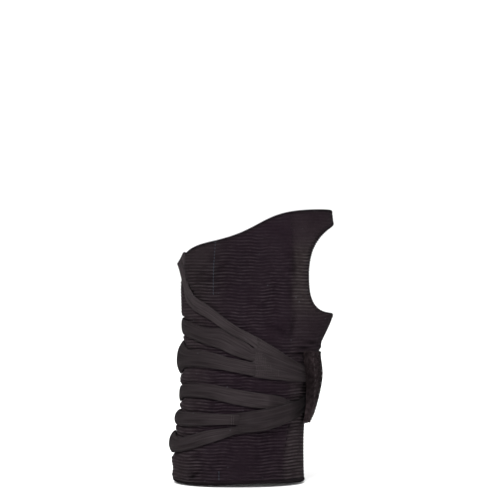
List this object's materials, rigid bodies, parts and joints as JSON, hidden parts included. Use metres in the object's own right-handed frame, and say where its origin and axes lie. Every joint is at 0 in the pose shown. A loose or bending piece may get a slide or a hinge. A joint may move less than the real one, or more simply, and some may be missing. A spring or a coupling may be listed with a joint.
{
  "type": "laced wrist support",
  "caption": "Ribbed elastic wrist support sleeve with a thumb hole, flat laces fanned across the palm side into pull straps, and a hook-and-loop closing tab round the thumb side.",
  "frame": {"origin": "the middle of the wrist, inside the sleeve", "axes": "+Z along the forearm towards the fingers, +X towards the thumb side, -Y towards the palm side"},
  "size_m": [0.0906, 0.0542, 0.1488],
  "materials": {
    "ribbed_elastic": "matt black ribbed elastic knit",
    "lace_tape": "matt black flat woven tape",
    "tab_fabric": "matt black brushed loop fabric",
    "anchor_tape": "matt black woven binding tape"
  },
  "bodies": {
    "root": {"sleeve": "ribbed_elastic", "lace_1": "lace_tape", "lace_2": "lace_tape", "lace_3": "lace_tape", "lace_4": "lace_tape", "lace_5": "lace_tape", "lace_6": "lace_tape", "upper_gather": "lace_tape", "lower_gather": "lace_tape", "closure_tab": "tab_fabric", "lace_anchor": "anchor_tape"}
  },
  "joints": []
}
